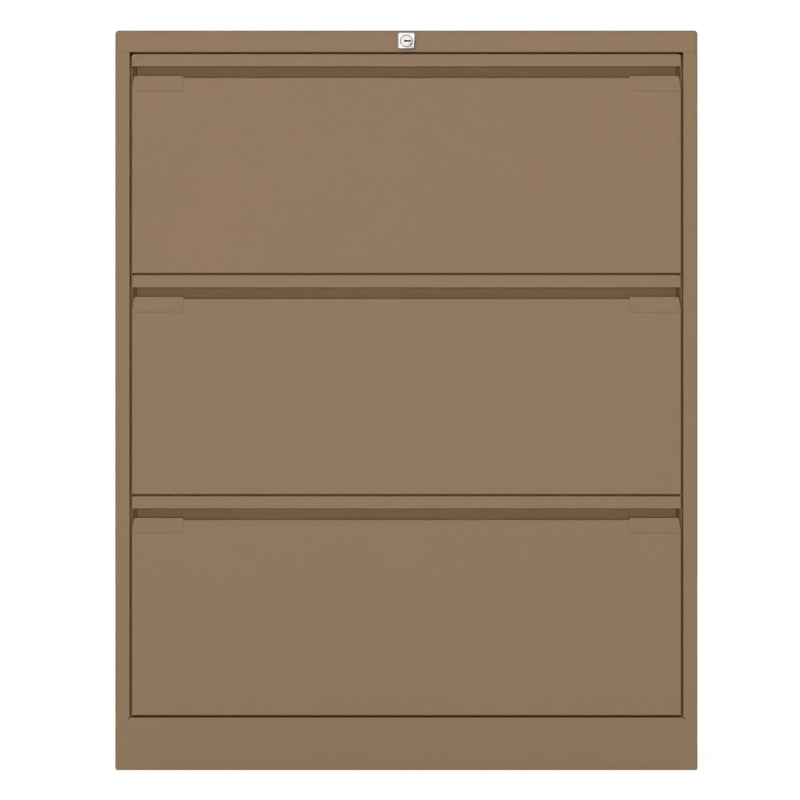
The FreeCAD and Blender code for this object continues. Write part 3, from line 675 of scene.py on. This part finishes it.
# Lock train: cam, link bar under the top, lock bar in the right upright, and a catch on each drawer.
# Pressed from zinc-plated strip, drawn along its length.
# The bars run in nylon guide blocks, natural off-white with a waxy surface.
strip_colour = (0.50, 0.50, 0.48)
nylon_colour = (0.70, 0.69, 0.64)
nylon_shades = (0.90, 1.06)
nylon_roughness = 0.45
nylon_scale = 180.0
nylon_dullness = 0.12
nylon_grain_scale = 2200.0
nylon_grain_share = 0.5
nylon_strength = 0.15
nylon_depth = 0.0002
strip_across = drawn_metal("strip zinc across", strip_colour, along_x, roughness=0.40)
strip_upright = drawn_metal("strip zinc upright", strip_colour, along_z, roughness=0.40)
dress(strip_across, "lock_cam", "lock_link_bar")
dress(strip_upright, "lock_bar")
for drawer in drawer_names:
    dress(strip_upright, drawer + "_drawer_lock_catch")


def nylon_material():
    """Cloudy, waxy nylon with a fine moulded grain."""
    material, shader, place = start_material("nylon")
    cloud = noise(place, nylon_scale, detail=3.0)
    grain = noise(place, nylon_grain_scale)
    relief = grain * nylon_grain_share + cloud * (1.0 - nylon_grain_share)
    plug_in(shader, "Base Color", mottled(cloud, nylon_colour, nylon_shades))
    plug_in(shader, "Roughness", nylon_roughness + swing(cloud, nylon_dullness))
    bumped(shader, relief, nylon_strength, nylon_depth)
    return material


dress(nylon_material(), "link_bar_guides", "lock_bar_guides")

# Fasteners of the lock: the hexagon nut behind the fascia and the screw that holds the cam.
# Turned steel, zinc plated. The nut clamps the lock body, and the screw's head has a rounded rim.
fascia_back = -0.2315
nut_flats = 0.0210
nut_height = 0.0050
nut_bore = 0.00965
cam_back = -0.2060
screw_radius = 0.0045
screw_height = 0.0024
screw_rounding = 0.0006
flat_tolerance = 1e-6
fastener_metal = drawn_metal("fastener zinc", strip_colour, along_y, roughness=0.34)


def facing_front(start, height):
    """Place of a round piece whose axis runs back from the fascia."""
    middle = Vector((0.0, start + height / 2, lock_height))
    return Matrix.Translation(middle) @ Matrix.Rotation(math.pi / 2, 4, "X")


def draw_cylinder(mesh, sides, radius, height, place, capped):
    """Add a straight cylinder or prism to a mesh."""
    bmesh.ops.create_cone(
        mesh,
        cap_ends=capped,
        segments=sides,
        radius1=radius,
        radius2=radius,
        depth=height,
        matrix=place,
    )


def edges_on(mesh, back):
    """The edges of a mesh that lie in an upright plane."""
    return [
        edge
        for edge in mesh.edges
        if all(abs(vertex.co.y - back) < flat_tolerance for vertex in edge.verts)
    ]


nut = bmesh.new()
nut_place = facing_front(fascia_back, nut_height)
for sides, radius in ((6, nut_flats / math.sqrt(3.0)), (48, nut_bore)):
    draw_cylinder(nut, sides, radius, nut_height, nut_place, capped=False)
for nut_face in (fascia_back, fascia_back + nut_height):
    bmesh.ops.triangle_fill(nut, use_beauty=True, edges=edges_on(nut, nut_face))
finished("lock_nut", nut, fastener_metal, "carcass")

screw = bmesh.new()
draw_cylinder(screw, 32, screw_radius, screw_height, facing_front(cam_back, screw_height), capped=True)
bmesh.ops.bevel(
    screw,
    geom=edges_on(screw, cam_back + screw_height),
    offset=screw_rounding,
    segments=3,
    profile=0.5,
    affect="EDGES",
    material=-1,
)
finished("cam_screw", screw, fastener_metal, "lock_core")

# Rivets: domed heads inside each drawer, which hold the runner members to the drawer's sides.
# Steel, cold headed and zinc plated, six in a drawer.
drawer_side_face = 0.3630
rivet_radius = 0.0034
rivet_rise = 0.0014
rivet_sink = 0.0001
rivet_level = 0.1000
rivet_spots = (-0.15, 0.0, 0.15)
rivet_dome = Matrix.Diagonal((rivet_rise / rivet_radius, 1.0, 1.0, 1.0))
for number, drawer in enumerate(drawer_names):
    rivets = bmesh.new()
    rivet_height = lowest_front + number * drawer_pitch + rivet_level
    for side in (-1, 1):
        for along in rivet_spots:
            seat = Matrix.Translation((side * drawer_side_face, along, rivet_height))
            bmesh.ops.create_uvsphere(
                rivets,
                u_segments=20,
                v_segments=12,
                radius=rivet_radius,
                matrix=seat @ rivet_dome,
            )
    for side in (-1, 1):
        bmesh.ops.bisect_plane(
            rivets,
            geom=rivets.verts[:] + rivets.edges[:] + rivets.faces[:],
            plane_co=(side * (drawer_side_face + rivet_sink), 0.0, 0.0),
            plane_no=(side, 0.0, 0.0),
            clear_outer=True,
        )
    for face in rivets.faces:
        face.smooth = True
    close_holes(rivets)
    finished(drawer + "_drawer_rivets", rivets, fastener_metal, drawer + "_drawer")

# Studio: pale floor, white surround, soft lights in front and above, and weaker ones beside and behind.
# Floor and surround look white to the camera, and the floor still takes the cabinet's shadow.
floor_reach = 9.0
floor_colour = (0.93, 0.93, 0.93, 1.0)
floor_roughness = 0.9
floor_glow = 1.55
floor_glow_share = 0.5
white = (1.0, 1.0, 1.0, 1.0)
surround_strength = 0.48
backdrop_strength = 1.0
front_light_place = (-0.15, -6.2, 0.48)
front_light_target = (0.0, -0.23, 0.5)
front_light_power = 146.0
front_light_size = 1.2
top_light_place = (-0.3, -1.4, 3.4)
top_light_target = (0.0, -0.4, 0.0)
top_light_power = 22.0
top_light_size = 3.2
side_light_places = ((-4.5, 1.2, 1.4), (4.5, 1.2, 1.4), (0.0, 5.2, 1.4))
side_light_target = (0.0, 0.0, 0.5)
side_light_power = 32.0
side_light_size = 2.4
scene = bpy.context.scene

floor_mesh = bmesh.new()
bmesh.ops.create_grid(floor_mesh, x_segments=1, y_segments=1, size=floor_reach)
floor_data = bpy.data.meshes.new("floor")
floor_mesh.to_mesh(floor_data)
floor_mesh.free()
floor = bpy.data.objects.new("floor", floor_data)
bpy.context.collection.objects.link(floor)
floor_material, floor_shader, floor_place = start_material("floor")
floor_shader.inputs["Base Color"].default_value = floor_colour
floor_shader.inputs["Roughness"].default_value = floor_roughness
by_camera = floor_place.node("ShaderNodeLightPath", {}, {}, "Is Camera Ray")
glow = floor_place.node("ShaderNodeEmission", {}, {"Color": white, "Strength": floor_glow})
diffuse = Shade(floor_material.node_tree, floor_shader.outputs[0])
mixed = floor_place.node("ShaderNodeMixShader", {}, {0: by_camera * floor_glow_share, 1: diffuse, 2: glow})
plug_in(floor_material.node_tree.nodes["Material Output"], "Surface", mixed)
floor_data.materials.append(floor_material)

world = bpy.data.worlds.new("surround")
world.use_nodes = True
world.node_tree.nodes.clear()
surround = Shade(world.node_tree)
seen = surround.node("ShaderNodeLightPath", {}, {}, "Is Camera Ray")
lighting = surround.node("ShaderNodeBackground", {}, {"Color": white, "Strength": surround_strength})
backdrop = surround.node("ShaderNodeBackground", {}, {"Color": white, "Strength": backdrop_strength})
chosen = surround.node("ShaderNodeMixShader", {}, {0: seen, 1: lighting, 2: backdrop})
surround.node("ShaderNodeOutputWorld", {}, {"Surface": chosen})
scene.world = world


def soft_light(name, place, target, size, power):
    """A square area light that looks at a point."""
    lamp = bpy.data.lights.new(name, "AREA")
    lamp.shape = "SQUARE"
    lamp.size = size
    lamp.energy = power
    holder = bpy.data.objects.new(name, lamp)
    holder.location = place
    holder.rotation_euler = (Vector(target) - Vector(place)).to_track_quat("-Z", "Y").to_euler()
    bpy.context.collection.objects.link(holder)


soft_light("front light", front_light_place, front_light_target, front_light_size, front_light_power)
soft_light("top light", top_light_place, top_light_target, top_light_size, top_light_power)
for side_light_place in side_light_places:
    soft_light("side light", side_light_place, side_light_target, side_light_size, side_light_power)

# Camera: level and square to the fronts, as in the photograph.
# It stands far away, so the gaps and the finger pulls show hardly any perspective.
camera_distance = 5.5
camera_place = (-0.0088, -5.7325, 0.5083)
view_width = 1.0985
sensor = 36.0
camera_data = bpy.data.cameras.new("camera")
camera_data.sensor_width = sensor
camera_data.lens = sensor * camera_distance / view_width
camera = bpy.data.objects.new("camera", camera_data)
camera.location = camera_place
camera.rotation_euler = (math.pi / 2, 0.0, 0.0)
bpy.context.collection.objects.link(camera)
scene.camera = camera
scene.view_settings.view_transform = "Standard"
